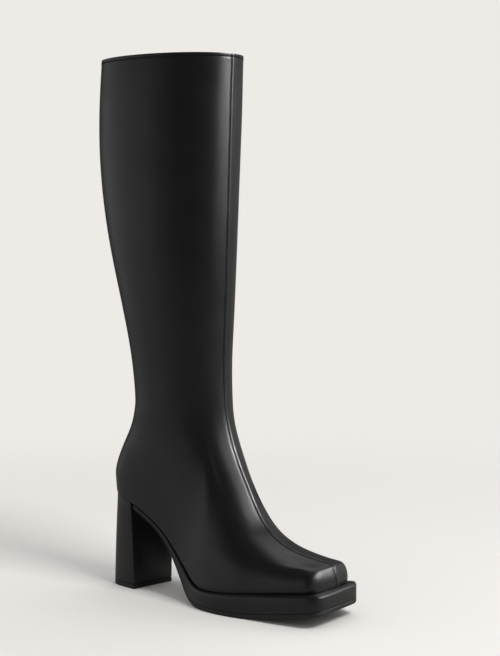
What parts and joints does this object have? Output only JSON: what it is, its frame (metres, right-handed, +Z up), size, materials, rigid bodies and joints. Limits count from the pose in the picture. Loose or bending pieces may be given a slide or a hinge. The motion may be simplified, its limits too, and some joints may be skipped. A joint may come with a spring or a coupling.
{
  "type": "knee-high boot",
  "caption": "Knee-high smooth leather boot for the right foot, with a square toe, a wrapped platform sole and a flared block heel.",
  "frame": {"origin": "on the floor, under the middle of the boot's bounding box", "axes": "+X towards the toe, +Y towards the inner side of the foot, +Z up along the shaft"},
  "size_m": [0.2708, 0.1044, 0.4875],
  "materials": {
    "leather": "smooth, semi-gloss black",
    "sock": "matt black lining",
    "rubber": "matt black"
  },
  "bodies": {
    "root": {"upper": "leather", "insole": "sock", "platform": "leather", "outsole": "rubber", "heel": "leather", "top_lift": "rubber"}
  },
  "joints": []
}
